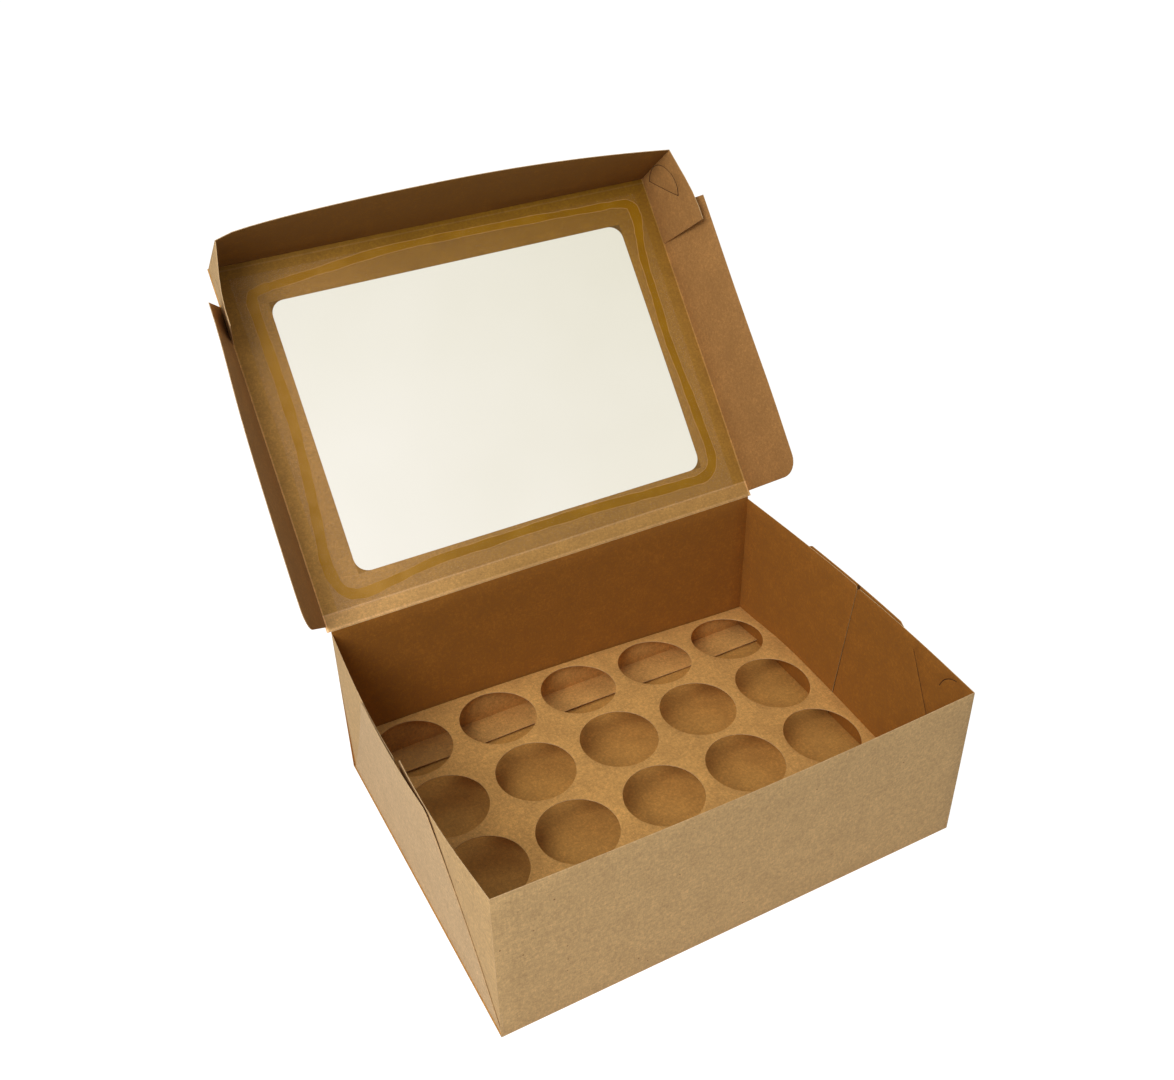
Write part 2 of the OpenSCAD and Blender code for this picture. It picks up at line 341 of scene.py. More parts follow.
def lined(add, coord, colour, lines):
    """The colour with paler or darker lines: (axis, place, half width, strength, hardness)."""
    for axis, place, width, strength, hardness in lines:
        line = add("ShaderNodeGroup", {
            "Coordinate": coord, "Axis": axis, "Place": place, "Width": width,
            "Hardness": hardness}, node_tree=bpy.data.node_groups["Score Line"])
        # The paler or darker copy: wear on creases, painted shade or painted highlight on the other
        # lines
        worn = add("ShaderNodeHueSaturation", {
            "Color": colour, "Value": 1 + strength, "Saturation": 0.92 if strength > 0 else 1.06})
        colour = mixed(add, line.outputs["Mask"], colour, worn.outputs[0])
    return colour


def kraft_material(name, board, cloud=0.10, fibre=0.20, fleck=0.5, bump=0.3, lines=()):
    """Kraft board, with lines as lined() takes them."""
    mat = bpy.data.materials.new(name)
    add = empty_nodes(mat)
    coord = add("ShaderNodeTexCoord").outputs["Object"]
    kraft = add("ShaderNodeGroup", {
        "Coordinate": coord, "Board": (*board, 1), "Deep": (*settings("carton_board").deep, 1),
        "Cloud": cloud, "Fibre": fibre, "Fleck": fleck,
    }, node_tree=bpy.data.node_groups["Kraft Fibre"])
    bumped = add("ShaderNodeBump", {"Strength": bump, "Distance": 0.00025,
                                    "Height": kraft.outputs["Height"]})
    shader = add("ShaderNodeBsdfPrincipled", {
        "Base Color": lined(add, coord, kraft.outputs["Color"], lines),
        "Roughness": kraft.outputs["Roughness"], "Normal": bumped.outputs[0],
        "Specular IOR Level": 0.3})
    add("ShaderNodeOutputMaterial", {0: shader.outputs[0]})
    return mat


def film_material(name, surface, share, passed):
    """Clear film that tints what is behind it, more so from the hinge's left to the far right.
    surface is the colour it shows by itself, for share of the light."""
    mat = bpy.data.materials.new(name)
    add = empty_nodes(mat)
    coord = add("ShaderNodeTexCoord").outputs["Object"]
    wave = add("ShaderNodeTexNoise", {"Vector": coord, "Scale": 9.0, "Detail": 2.0})
    uphill = add("ShaderNodeVectorMath", {0: coord, 1: (0.9, 0.0, 1.2)}, operation="DOT_PRODUCT")
    drift = add("ShaderNodeMath", {0: wave.outputs["Fac"], 1: 0.25, 2: uphill.outputs["Value"]},
                operation="MULTIPLY_ADD").outputs[0]
    near, far = 0.18, 0.62
    tone = add("ShaderNodeValToRGB", {"Fac": drift})
    for stop, place, colour in zip(tone.color_ramp.elements, (near, far), passed):
        stop.position = place
        stop.color = (*colour, 1)
    clear = add("ShaderNodeBsdfTransparent", {"Color": tone.outputs[0]})
    shader = add("ShaderNodeBsdfPrincipled", {
        "Base Color": (*surface, 1), "Roughness": 0.12, "Specular IOR Level": 0.25})
    blend = add("ShaderNodeMixShader", {0: span(add, drift, near, far, *share),
                                        1: clear.outputs[0], 2: shader.outputs[0]})
    add("ShaderNodeOutputMaterial", {0: blend.outputs[0]})
    return mat


def glue_material():
    """Blotchy dried glue, from dark and amber to thin and pale."""
    mat = bpy.data.materials.new("Dried Glue")
    add = empty_nodes(mat)
    coord = add("ShaderNodeTexCoord").outputs["Object"]
    blot = add("ShaderNodeTexNoise", {"Vector": coord, "Scale": 60.0, "Detail": 5.0})
    ramp = add("ShaderNodeValToRGB", {"Fac": blot.outputs["Fac"]})
    r, g, b = settings("carton_lid").glue
    dark, pale = ramp.color_ramp.elements
    dark.position, dark.color = 0.35, (r * 0.88, g * 0.84, b * 0.5, 1)
    pale.position, pale.color = 0.68, (r * 1.08, g * 1.12, b * 2.2, 1)
    bumped = add("ShaderNodeBump", {"Strength": 0.2, "Distance": 0.0004,
                                    "Height": blot.outputs["Fac"]})
    shader = add("ShaderNodeBsdfPrincipled", {
        # The glue gets the lid's painted shade towards the right
        "Base Color": lined(add, coord, ramp.outputs[0], [RIGHT_SHADE]),
        "Roughness": 0.45, "Specular IOR Level": 0.12, "Normal": bumped.outputs[0]})
    add("ShaderNodeOutputMaterial", {0: shader.outputs[0]})
    return mat


# Painted shade: the lid's inner face is darker towards its right, and the glue on it too
RIGHT_SHADE = (AXIS_X, 0.08, 0.22, -0.28, 2)
CLEAR = ((1, 1, 1), (1, 1, 1))
MATERIALS = {}


def build_materials():
    board, lid = settings("carton_board"), settings("carton_lid")
    build_kraft_group()
    build_line_group()
    hinge = LID_U.dot(LID_O)
    second = lid.second_score
    seam = Vector((0, 1, SEAM_LEAN / WALL_H))
    lid_lines = [
        (LID_U, hinge + second / 2, second / 2 + 0.0006, 0.34, 6),  # painted light: the strip between hinge and second score drawn paler, as lit at its own angle
        (LID_U, hinge + second, 0.0009, 0.25, 1),  # second score
        (LID_U, hinge + 0.0008, 0.0012, 0.3, 1),  # hinge crease
        (LID_U, hinge + LID_L - 0.0035, 0.0008, 0.2, 1),  # front crease
        (LID_U, hinge + LID_L, 0.11, -0.25, 1),  # painted shade: darker towards the front flap
        RIGHT_SHADE,
        (AXIS_X, LID_W - 0.0004, 0.0014, 0.6, 2),  # side creases
        (AXIS_X, -LID_W + 0.0004, 0.0014, 0.6, 2)]
    # Painted shadow: a dark band on the side panel's inner face where the seam between its corner
    # flaps lies in shade
    seam_line = (seam.normalized(), SEAM_Y / seam.length, 0.0016, -0.8, 4)
    MATERIALS.update(
        outside=kraft_material("Kraft Outside", board.outside, cloud=0.06, fleck=0.85,
                               bump=0.35),
        # Paler copy of the outside kraft for the side panels: painted light
        side_outside=kraft_material("Kraft Side Outside", board.side, cloud=0.06, fleck=0.7,
                                    bump=0.35),
        inside=kraft_material("Kraft Inside", board.inside),
        lid_inside=kraft_material("Kraft Lid Inside", lid.inside, lines=lid_lines),
        floor_inside=kraft_material("Kraft Floor Inside", board.floor),
        panel_inside=kraft_material("Kraft Side Panel Inside", board.inside, lines=[seam_line]),
        cut_line=kraft_material("Cut Line", board.cut_line, fleck=0.0),
        glue_rim=kraft_material("Glue Rim", lid.glue_rim, fleck=0.0),
        flap_inside=kraft_material("Kraft Flap Inside", lid.flaps),
        front_inside=kraft_material("Kraft Front Inside", lid.front_inside),
        insert=kraft_material("Insert Kraft", board.insert, cloud=0.11, fibre=0.22),
        edge=kraft_material("Cut Edge", board.cut_edge, fibre=0.12, fleck=0.15, bump=0.4),
        film=film_material("Clear Film", lid.film, (0.03, 0.05), (lid.film_near, lid.film_far)),
        film_lap=film_material("Clear Film Lap", lid.film_lap_tint, (0.06, 0.02), CLEAR),
        glue=glue_material())


# ---- Cutting and bending sheets ----

def only(obj):
    if bpy.context.object and bpy.context.object.mode != "OBJECT":
        bpy.ops.object.mode_set(mode="OBJECT")
    bpy.ops.object.select_all(action="DESELECT")
    obj.select_set(True)
    bpy.context.view_layer.objects.active = obj


def edit_all(obj):
    only(obj)
    bpy.ops.object.mode_set(mode="EDIT")
    bpy.ops.mesh.select_all(action="SELECT")


def object_mode():
    bpy.ops.object.mode_set(mode="OBJECT")


def apply_modifier(obj, kind, **values):
    only(obj)
    mod = obj.modifiers.new(kind.title(), kind)
    for key, value in values.items():
        setattr(mod, key, value)
    bpy.ops.object.modifier_apply(modifier=mod.name)


def apply_place(obj):
    only(obj)
    bpy.ops.object.transform_apply(location=True, rotation=True, scale=True)


def added(primitive, name, **values):
    """A new primitive at its size and place, with everything else deselected first."""
    bpy.ops.object.select_all(action="DESELECT")
    primitive(**values)
    obj = bpy.context.active_object
    obj.name = obj.data.name = name
    return obj


def turn_faces_out(obj):
    edit_all(obj)
    bpy.ops.mesh.normals_make_consistent(inside=False)
    object_mode()


def finish_faces(obj, slot, test):
    """Gives the faces that pass the test the material in this slot."""
    edit_all(obj)
    bpy.ops.mesh.select_mode(type="FACE")
    bpy.ops.mesh.select_all(action="DESELECT")
    object_mode()
    for face in obj.data.polygons:
        face.select = test(face)
    if any(face.select for face in obj.data.polygons):
        bpy.ops.object.mode_set(mode="EDIT")
        obj.active_material_index = slot
        bpy.ops.object.material_slot_assign()
        object_mode()


def sides_of(outline):
    return zip(outline, outline[1:] + outline[:1])


def same(a, b):
    return abs(a - b) < 1e-7


def cut_sheet(name, outline):
    """A flat sheet on z = 0 with this convex outline, anticlockwise, cut from a plane."""
    xs, ys = [p[0] for p in outline], [p[1] for p in outline]
    x0, x1, y0, y1 = min(xs), max(xs), min(ys), max(ys)
    obj = added(bpy.ops.mesh.primitive_plane_add, name, size=1,
                location=((x0 + x1) / 2, (y0 + y1) / 2, 0))
    edit_all(obj)
    bpy.ops.transform.resize(value=(x1 - x0, y1 - y0, 1))
    for a, b in sides_of(outline):
        dx, dy = b[0] - a[0], b[1] - a[1]
        if (same(dx, 0) and (same(a[0], x0) or same(a[0], x1))) \
                or (same(dy, 0) and (same(a[1], y0) or same(a[1], y1))):
            continue
        run = math.hypot(dx, dy)
        bpy.ops.mesh.select_all(action="SELECT")
        bpy.ops.mesh.bisect(plane_co=(a[0], a[1], 0), plane_no=(dy / run, -dx / run, 0),
                            threshold=WELD, clear_outer=True)
    apply_place(obj)
    return obj


def thicken(obj, thickness):
    """Gives the sheet its thickness, from its face at z = 0 down."""
    apply_modifier(obj, "SOLIDIFY", thickness=thickness, offset=-1)


def punch(obj, cutter):
    """Cuts the cutter's shape out of the sheet."""
    apply_modifier(obj, "BOOLEAN", operation="DIFFERENCE", solver="EXACT", object=cutter)
    bpy.data.objects.remove(cutter)


def tall(cutter, low=-3 * BOARD, high=3 * BOARD):
    """Makes a flat outline a cutter from low to high, which reaches through the board by itself."""
    edit_all(cutter)
    bpy.ops.mesh.extrude_region_move(TRANSFORM_OT_translate={"value": (0, 0, high - low)})
    bpy.ops.mesh.select_all(action="SELECT")
    bpy.ops.transform.translate(value=(0, 0, low))
    turn_faces_out(cutter)
    apply_place(cutter)
    return cutter


HALF_CUT = (-3 * BOARD, -0.38 * BOARD)  # from beyond the inner face to within the board


def slit_cutter(start, end, kerf):
    """A thin cutter for the inner side of a die-cut slit between two points. The cut is closed
    at the outer face, where the board's fibres still touch."""
    a, b = Vector(start), Vector(end)
    side = Vector((-(b - a).y, (b - a).x)).normalized() * kerf / 2
    corners = [a - side, b - side, b + side, a + side]
    return tall(cut_sheet("slit", [tuple(c) for c in corners]), *HALF_CUT)


def arc_cutter(centre, radius, start, sweep, kerf, steps=28):
    """A thin cutter along an arc: a short edge spun round the arc's centre."""
    obj = added(bpy.ops.mesh.primitive_plane_add, "arc", size=1, location=(0, 0, 0))
    edit_all(obj)
    bpy.ops.mesh.delete(type="ONLY_FACE")
    bpy.ops.mesh.select_all(action="DESELECT")
    object_mode()
    mesh = obj.data
    for v in mesh.vertices:
        v.select = v.co.y <= 0
    bpy.ops.object.mode_set(mode="EDIT")
    bpy.ops.mesh.select_mode(type="VERT")
    bpy.ops.mesh.delete(type="VERT")
    object_mode()
    aim = Vector((math.cos(start), math.sin(start)))
    for v, r in zip(mesh.vertices, (radius - kerf / 2, radius + kerf / 2)):
        v.co = (centre[0] + aim.x * r, centre[1] + aim.y * r, 0)
    edit_all(obj)
    bpy.ops.mesh.spin(steps=steps, angle=-sweep, center=(centre[0], centre[1], 0), axis=(0, 0, 1))
    bpy.ops.mesh.select_all(action="SELECT")
    bpy.ops.mesh.remove_doubles(threshold=WELD)
    object_mode()
    end = mesh.vertices[-1].co - Vector((*centre, 0))
    miss = math.atan2(end.y, end.x) - start - sweep
    if abs((miss + math.pi) % (2 * math.pi) - math.pi) > 0.02:
        raise RuntimeError("the arc was spun the wrong way")
    return tall(obj, *HALF_CUT)


def moon_outline(centre, radius, turn, back, steps=30):
    """Half-moon: straight side through the centre, shifted back by a small gap."""
    points = []
    for i in range(steps + 1):
        a = math.pi * i / steps
        points.append((radius * math.cos(a), radius * math.sin(a) + back))
    c, s = math.cos(turn), math.sin(turn)
    return [(centre[0] + c * x - s * y, centre[1] + s * x + c * y) for x, y in points]


def inside_by(outline, x, y):
    """How far a point lies inside a convex anticlockwise outline."""
    return min(((b[0] - a[0]) * (y - a[1]) - (b[1] - a[1]) * (x - a[0])) / math.dist(a, b)
               for a, b in sides_of(outline))


def mark_edges(obj, rounding, outline):
    """Rounds the board's edges and finishes the cut edge and the lines cut inside it."""
    if rounding > 0:
        apply_modifier(obj, "BEVEL", width=rounding, segments=2, limit_method="ANGLE",
                       angle_limit=ROUND_ANGLE, use_clamp_overlap=True)

    def is_edge(face):
        return abs(face.normal.z) < 0.9

    def is_cut(face):
        between = -0.9 * BOARD < face.center.z < -0.1 * BOARD
        return (between or is_edge(face)) \
            and inside_by(outline, face.center.x, face.center.y) > BOARD

    finish_faces(obj, 2, is_edge)
    finish_faces(obj, 1, lambda face: face.normal.z <= -0.9)
    if len(obj.data.materials) > 3:
        # The walls of the lines cut inside the sheet get the dark cut-line colour: painted shade in
        # the cut
        finish_faces(obj, 3, is_cut)


def rule(obj, step, xs=(), ys=()):
    """Cuts lines across the sheet so that it can bend, and at the places given."""
    lo = [min(v.co[i] for v in obj.data.vertices) for i in (0, 1)]
    hi = [max(v.co[i] for v in obj.data.vertices) for i in (0, 1)]
    edit_all(obj)
    for i, extra in ((0, xs), (1, ys)):
        count = max(1, round((hi[i] - lo[i]) / step))
        spots = [lo[i] + (hi[i] - lo[i]) * k / count for k in range(1, count)]
        for spot in sorted(spots + list(extra)):
            at, no = [0, 0, 0], [0, 0, 0]
            at[i], no[i] = spot, 1
            bpy.ops.mesh.select_all(action="SELECT")
            bpy.ops.mesh.bisect(plane_co=at, plane_no=no, threshold=WELD)
    object_mode()


def bend(obj, depth, axis="Z"):
    """Moves the sheet along an axis by depth(x, y), through weights and a Displace modifier."""
    co = np.empty(len(obj.data.vertices) * 3)
    obj.data.vertices.foreach_get("co", co)
    co = co.reshape(-1, 3)
    moves = np.array([depth(x, y) for x, y, _ in co])
    for sign in (1, -1):
        part = np.clip(moves * sign, 0, None)
        most = part.max()
        if most < WELD:
            continue
        group = obj.vertex_groups.new(name="bend")
        for i, w in enumerate(part / most):
            if w > 0:
                group.add([i], float(w), "REPLACE")
        apply_modifier(obj, "DISPLACE", direction=axis, mid_level=0.0, strength=sign * most,
                       vertex_group="bend")
        obj.vertex_groups.clear()


def frame_of(origin, *axes):
    """Matrix of a frame with this origin and these three axes."""
    m = Matrix.Identity(4)
    for i, axis in enumerate(axes):
        m.col[i][:3] = axis
    m.col[3][:3] = origin
    return m


def place(obj, origin, x_axis, y_axis, z_axis):
    """Stands the finished sheet in its place, with its outer face towards z_axis."""
    obj.matrix_world = frame_of(origin, x_axis, y_axis, z_axis)
    apply_place(obj)
    bpy.ops.object.shade_smooth_by_angle(angle=SMOOTH_ANGLE)


KRAFT, INSERT_BOARD = "kraft_board", "insert_board"
PLAIN = ("outside", "inside", "edge")  # finishes of the outer face, inner face and cut edge
SIDES = ((1, "right"), (-1, "left"))
ENDS = ((-1, "front"), (1, "rear"))


def sheet_piece(name, outline, body, stand, finish=PLAIN, slot=KRAFT, cutters=(),
                depth=None, shift=None, lines=((), ()), step=None):
    """Cuts, punches, rounds, bends and places the sheet that stands for one CAD node."""
    board = settings("carton_board")
    obj = cut_sheet(name + "_sheet", outline)
    for key in finish:
        obj.data.materials.append(MATERIALS[key])
    thicken(obj, BOARD)
    for cutter in cutters:
        punch(obj, cutter)
    mark_edges(obj, board.rounding, outline)
    rule(obj, step or board.grid, *lines)
    for move, axis in ((depth, "Z"), (shift, "Y")):
        if move:
            bend(obj, move, axis)
    place(obj, *stand)
    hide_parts(name)
    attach(obj, body)
    return obj


def clamped(t):
    """The value, held between 0 and 1."""
    return min(max(t, 0.0), 1.0)


def hump(t):
    """0 at both ends and 1 in the middle, for t from 0 to 1."""
    return math.sin(math.pi * clamped(t))


def side_stand(side, x):
    """Frame of a sheet in the y-z plane, with its outer face at x on that side."""
    return Vector((side * x, 0, 0)), AXIS_Y * side, AXIS_Z, AXIS_X * side


def end_stand(ahead, y):
    """Frame of a sheet in the x-z plane, with its outer face at y on that end."""
    return Vector((0, ahead * y, 0)), -AXIS_X * ahead, AXIS_Z, AXIS_Y * ahead


def rect(x0, y0, x1, y1):
    return [(x0, y0), (x1, y0), (x1, y1), (x0, y1)]


def on_side(side, outline):
    """The outline as drawn for the right side, or its mirror image for the left."""
    return outline if side > 0 else [(-x, y) for x, y in reversed(outline)]


def wall_bow(amount):
    """Bow of a tray side at (y, z): most at the rim, none at the corners and the floor."""
    tuck = settings("carton_board").foot_tuck

    def depth(y, z):
        rise = clamped(z / SIDE_H)
        return amount * hump((y + HALF_D) / (2 * HALF_D)) * rise ** 1.3 - tuck * (1 - rise) ** 2

    return depth


def flatten_with_lid(obj):
    """Gives the bowed sheet its own copy of its mesh."""
    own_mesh(obj)


# ---- Tray ----

SIDE_TOP_W = 104 * MM
FOOT_INSET = 2 * MM
SIDE_CUT, FLAP_CUT = 3 * MM, 2 * MM  # clipped top corners
KERF = 0.5 * MM
FLOOR_GRID = 30 * MM
SLIT_LEN, SLIT_DROP, SLIT_OFFSET = 48 * MM, 9 * MM, 8 * MM
CATCH_START, CATCH_SWEEP = math.radians(10), math.radians(70)
LOCK_R, LOCK_TURN = 17 * MM, math.radians(48)
LOCK_FROM_FRONT, LOCK_FROM_PANEL = 18 * MM, 23 * MM


def side_edge_y(z):
    foot = HALF_D - FOOT_INSET
    return foot - (foot - SIDE_TOP_W / 2) * z / SIDE_H


class CARTON_OT_floor(bpy.types.Operator):
    """Cuts the floor of the tray"""
    bl_idname = "carton.floor"
    bl_label = "Floor"

    def execute(self, context):
        x, y0, y1 = FLOOR_HI.x, FLOOR_LO.y, FLOOR_HI.y
        sheet_piece("floor_panel", rect(-x, -y1, x, -y0), "tray",
                    (Vector((0, 0, 0)), AXIS_X, -AXIS_Y, -AXIS_Z),
                    ("outside", "floor_inside", "edge"), step=FLOOR_GRID)
        return {"FINISHED"}


class CARTON_OT_front_and_back(bpy.types.Operator):
    """Cuts and bows the front wall and the back wall"""
    bl_idname = "carton.front_and_back"
    bl_label = "Front and back walls"

    def execute(self, context):
        board = settings("carton_board")
        tuck = board.foot_tuck

        def front_bow(x, z):
            rise = z / WALL_H
            return board.front_bow * hump((x + FLAP_X) / (2 * FLAP_X)) * rise ** 2 \
                - tuck * 0.5 * (1 - rise) ** 2

        def back_bow(x, z):
            return board.back_bow * hump((x + FLAP_X) / (2 * FLAP_X)) * hump(z / BACK_HI.z)

        front = sheet_piece("front_wall", rect(-FLAP_X, SEAT, FLAP_X, WALL_H), "front",
                            end_stand(-1, HALF_D), depth=front_bow)
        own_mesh(front)
        sheet_piece("back_wall", rect(-FLAP_X, 0, FLAP_X, BACK_HI.z), "tray",
                    end_stand(1, HALF_D), depth=back_bow)
        return {"FINISHED"}


def seam_at(z):
    return SEAM_Y - SEAM_LEAN * z / WALL_H


# How far a corner flap's free end leans in from the side panel, in mm, by side and end
FLAP_SLACK = {(1, -1): 0.8, (1, 1): 0.0, (-1, -1): 3.2, (-1, 1): 0.8}
FLAP_REACH = 85 * MM


def tray_slits():
    """Ends of a front corner flap's slanted slit, and the centre of its curved catch slit."""
    top_z = WALL_H - SLIT_DROP
    run = Vector((side_edge_y(SLIT_LEN) - side_edge_y(0), SLIT_LEN)).normalized()
    top = Vector((-side_edge_y(top_z) - SLIT_OFFSET, top_z))
    low = top - Vector((-run.x, run.y)) * SLIT_LEN
    catch = (HALF_D - LID_L + LOCK_FROM_FRONT, LID_O.z - LOCK_FROM_PANEL)
    return top, low, catch


class CARTON_OT_corner_flaps(bpy.types.Operator):
    """Cuts, slits and bows the four corner flaps"""
    bl_idname = "carton.corner_flaps"
    bl_label = "Corner flaps"

    def execute(self, context):
        board = settings("carton_board")
        low = BOARD + CREASE
        for side, word in SIDES:
            base = wall_bow(getattr(board, word + "_bow"))
            for ahead, end in ENDS:
                slack = FLAP_SLACK[side, ahead] * MM

                def depth(a, z, side=side, ahead=ahead, base=base, slack=slack):
                    y = a * side
                    to_end = clamped(1 - ahead * (y - seam_at(z)) / FLAP_REACH)
                    return base(y, z) - slack * to_end ** 1.5 * clamped(z / WALL_H)

                wall, edge = ahead * INNER_Y, ahead * SEAM_GAP / 2
                outline = [(wall, low), (seam_at(low) + edge, low),
                           (seam_at(WALL_H - FLAP_CUT) + edge, WALL_H - FLAP_CUT),
                           (seam_at(WALL_H) + edge + ahead * FLAP_CUT, WALL_H),
                           (wall, WALL_H)]
                if ahead > 0:
                    outline.reverse()
                cutters = []
                if ahead < 0:
                    top, foot, catch = tray_slits()
                    start = CATCH_START
                    if side < 0:
                        top, foot = Vector((-top.x, top.y)), Vector((-foot.x, foot.y))
                        catch = (-catch[0], catch[1])
                        start = math.pi - start - CATCH_SWEEP
                    cutters = [slit_cutter(foot, top, KERF),
                               arc_cutter(catch, LOCK_R, start, CATCH_SWEEP, KERF)]
                flap = sheet_piece(f"{end}_{word}_corner_flap", on_side(side, outline),
                                   "front" if ahead < 0 else "tray", side_stand(side, FLAP_X),
                                   (*PLAIN, "cut_line"), cutters=cutters, depth=depth)
                flatten_with_lid(flap)
        return {"FINISHED"}


class CARTON_OT_side_panels(bpy.types.Operator):
    """Cuts and bows the two side panels"""
    bl_idname = "carton.side_panels"
    bl_label = "Side panels"

    def execute(self, context):
        board = settings("carton_board")
        foot, top_y = HALF_D - FOOT_INSET, SIDE_TOP_W / 2 - SIDE_CUT
        shoulder = (side_edge_y(SIDE_H - SIDE_CUT), SIDE_H - SIDE_CUT)
        outline = [(-foot, SEAT), (foot, SEAT), shoulder, (top_y, SIDE_H), (-top_y, SIDE_H),
                   (-shoulder[0], shoulder[1])]
        for side, word in SIDES:
            panel = sheet_piece(f"{word}_side_panel", outline, f"{word}_side",
                                side_stand(side, HALF_W), ("side_outside", "panel_inside", "edge"),
                                depth=wall_bow(getattr(board, word + "_bow")))
            flatten_with_lid(panel)
        return {"FINISHED"}


# ---- Insert ----

# Height of the warped deck over the floor plane at these places, all in mm
DECK_XS = [-163, -100, -40, 40, 100, 163]
DECK_YS = [-124, -60, 0, 64, 124]
DECK_HEIGHTS = [[26, 27, 27, 26, 23, 16],
                [27, 28.5, 29, 29, 25, 17],
                [28, 29, 29, 29, 27, 21],
                [29, 29, 29, 29, 28, 23.5],
                [29.5, 29, 27, 24, 20.5, 17.5]]
SOFTEN = (-22, -11, 0, 11, 22)  # mm
LEG_GAP = 0.3 * MM
RIPPLE_RUN = 31 * MM


def deck_height(x, y):
    """Height of the warped deck's top face above the floor plane, in metres."""
    rows = [np.interp(x / MM, DECK_XS, row) for row in DECK_HEIGHTS]
    return float(np.interp(y / MM, DECK_YS, rows)) * MM


def soft_deck_height(x, y):
    """The same, evened out over the neighbourhood so that the deck bends without kinks."""
    total = sum(deck_height(x + dx * MM, y + dy * MM) for dx in SOFTEN for dy in SOFTEN)
    return total / len(SOFTEN) ** 2


class CARTON_OT_insert(bpy.types.Operator):
    """Cuts, punches and warps the insert"""
    bl_idname = "carton.insert"
    bl_label = "Insert"

    def execute(self, context):
        insert = settings("carton_insert")
        same_board = {"body": "insert", "slot": INSERT_BOARD,
                      "finish": ("insert", "insert", "edge")}
        cutters = []
        for i in range(insert.cups_x):
            for j in range(insert.cups_y):
                x = (i - (insert.cups_x - 1) / 2) * insert.pitch_x
                y = (j - (insert.cups_y - 1) / 2) * insert.pitch_y
                cutters.append(added(bpy.ops.mesh.primitive_cylinder_add, "cup", vertices=72,
                                     radius=insert.cup_d / 2, depth=8 * BOARD,
                                     location=(x, y, 0)))
        only(cutters[0])
        for cutter in cutters[1:]:
            cutter.select_set(True)
        bpy.ops.object.join()
        apply_place(cutters[0])
        sheet_piece("insert_deck", rect(-DECK_X, -DECK_Y, DECK_X, DECK_Y), cutters=[cutters[0]],
                    depth=lambda x, y: soft_deck_height(x, y) - DECK_Z,
                    stand=(Vector((0, 0, DECK_Z)), AXIS_X, AXIS_Y, AXIS_Z), **same_board)
        low, high = LEG_LO.z, LEG_HI.z
        width = FOOT_HI.y - FOOT_LO.y
        for side, end in ENDS:
            def reach(a, z, side=side):
                top = soft_deck_height(a * -side, side * DECK_Y) - BOARD - LEG_GAP
                return (top - high) * (z - low) / (high - low)

            def lift(x, y, side=side):
                inward = (DECK_Y - y * side) / width
                ripple = 0.75 + 0.25 * math.sin(x / RIPPLE_RUN + 1.3)
                return insert.foot_lift * inward ** 1.5 * ripple

            sheet_piece(f"insert_{end}_leg", rect(-DECK_X, low, DECK_X, high), shift=reach,
                        stand=end_stand(side, DECK_Y), **same_board)
            y0, y1 = sorted((side * DECK_Y, side * (DECK_Y - width)))
            sheet_piece(f"insert_{end}_foot", rect(-DECK_X, y0, DECK_X, y1), depth=lift,
                        stand=(Vector((0, 0, FOOT_HI.z)), AXIS_X, AXIS_Y, AXIS_Z), **same_board)
        return {"FINISHED"}


# ---- Lid ----

# Outward turn of the side flaps, in degrees at places along the lid in mm
FLAP_PLACES = [0, 20, 65, 107, 146, 200]
SIDE_FLAP_TURNS = {"right": [-1.4, -1.0, 0.0, -0.7, -1.2, -0.8],
                   "left": [4.2, 4.7, 4.2, 3.4, 2.1, -1.5]}
END_BENDS = {"right": 8.0 * MM, "left": 7.6 * MM}  # outward bend of a tab's free end
FLAP_SPLAY = math.radians(18)
FLAP_REAR, FLAP_FRONT, FLAP_RAKE, FLAP_R = 3.5 * MM, 27 * MM, 10 * MM, 14 * MM
TAB_LEN, TAB_FOOT, TAB_SLANT, TAB_GAP = 55 * MM, 0.7 * MM, 2 * MM, 0.05 * MM
MOON_KERF = 0.4 * MM
FLARE_RUN = 48 * MM
KINK, KINK_RUN = 0.9 * MM, 70 * MM
SCORE_HALF = 0.6 * MM
GLUE_T, GLUE_RIM, GLUE_WAVE = 0.1 * MM, 0.45 * MM, 0.35 * MM
FILM_T, FILM_GRID, TONGUE_GRID = 0.2 * MM, 20 * MM, 5 * MM


def on_lid(x, u, v=0.0):
    return LID_O + AXIS_X * x + LID_U * u + LID_V * v


def lid_stand(v):
    """Frame of a sheet that lies under the lid, with its outer face up."""
    return on_lid(0, 0, v), -AXIS_X, LID_U, -LID_V


def rounded_rect(w, l, r, mid, steps=8):
    """Anticlockwise outline of a rounded rectangle."""
    points = []
    for cx, cy, start in ((w / 2 - r, l / 2 - r, 0), (-w / 2 + r, l / 2 - r, 90),
                          (-w / 2 + r, -l / 2 + r, 180), (w / 2 - r, -l / 2 + r, 270)):
        for i in range(steps + 1):
            a = math.radians(start + 90 * i / steps)
            points.append((cx + r * math.cos(a), mid + cy + r * math.sin(a)))
    return points


def lid_depth(x, u):
    """Bend of the lid panel, out of its outer face: a slight kink at the second score."""
    score = settings("carton_lid").second_score
    return KINK * max(u / score if u < score else 1 - (u - score) / KINK_RUN, 0.0)


